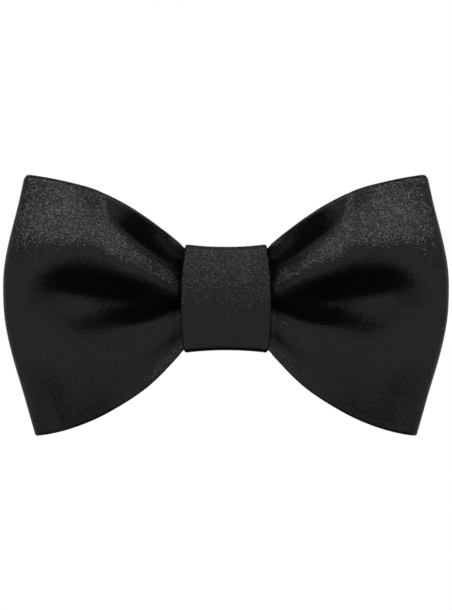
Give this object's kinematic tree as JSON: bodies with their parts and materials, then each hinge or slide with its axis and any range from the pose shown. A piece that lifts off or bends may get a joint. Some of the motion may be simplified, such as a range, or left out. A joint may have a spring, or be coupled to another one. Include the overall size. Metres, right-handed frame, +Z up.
{
  "type": "bow tie",
  "caption": "Pre-tied satin bow tie: one folded, pleated double-winged bow held by a wrapped knot, with a sprung collar clip on its back.",
  "frame": {"origin": "middle of the knot's flat back, where the tie rests on the collar", "axes": "+X along the bow to the viewer's right, +Y from the front of the bow towards the collar, +Z up as worn"},
  "size_m": [0.12, 0.0242, 0.0698],
  "materials": {
    "satin": "black satin with a fine twill and a soft sheen",
    "interlining": "natural woven interlining",
    "thread": "black sewing thread",
    "clip_steel": "nickel-plated steel stamping",
    "spring_steel": "tempered spring strip",
    "grip_rubber": "ribbed grip pad"
  },
  "bodies": {
    "bow": {"bow_satin": "satin", "bow_interlining": "interlining", "strip_end_stitches": "thread", "gather_thread": "thread", "knot_satin": "satin", "knot_interlining": "interlining", "knot_stitches": "thread", "clip_bar": "clip_steel", "right_pivot_pin": "clip_steel", "left_pivot_pin": "clip_steel", "right_spring": "spring_steel", "left_spring": "spring_steel", "right_grip_pad": "grip_rubber", "left_grip_pad": "grip_rubber"},
    "right_jaw": {"right_lever": "clip_steel"},
    "left_jaw": {"left_lever": "clip_steel"}
  },
  "joints": [
    {"name": "right_lever_pivot", "type": "hinge", "parent": "bow", "child": "right_jaw", "pos_m": [0.0195, 0.0022, 0], "axis": [0, 0, 1], "range_deg": [0, 30], "stiffness_Nm_per_rad": 0.05, "springref_deg": -28.65, "deforming": ["right_spring"]},
    {"name": "left_lever_pivot", "type": "hinge", "parent": "bow", "child": "left_jaw", "pos_m": [-0.0195, 0.0022, 0], "axis": [0, 0, -1], "range_deg": [0, 30], "stiffness_Nm_per_rad": 0.05, "springref_deg": -28.65, "deforming": ["left_spring"]}
  ]
}
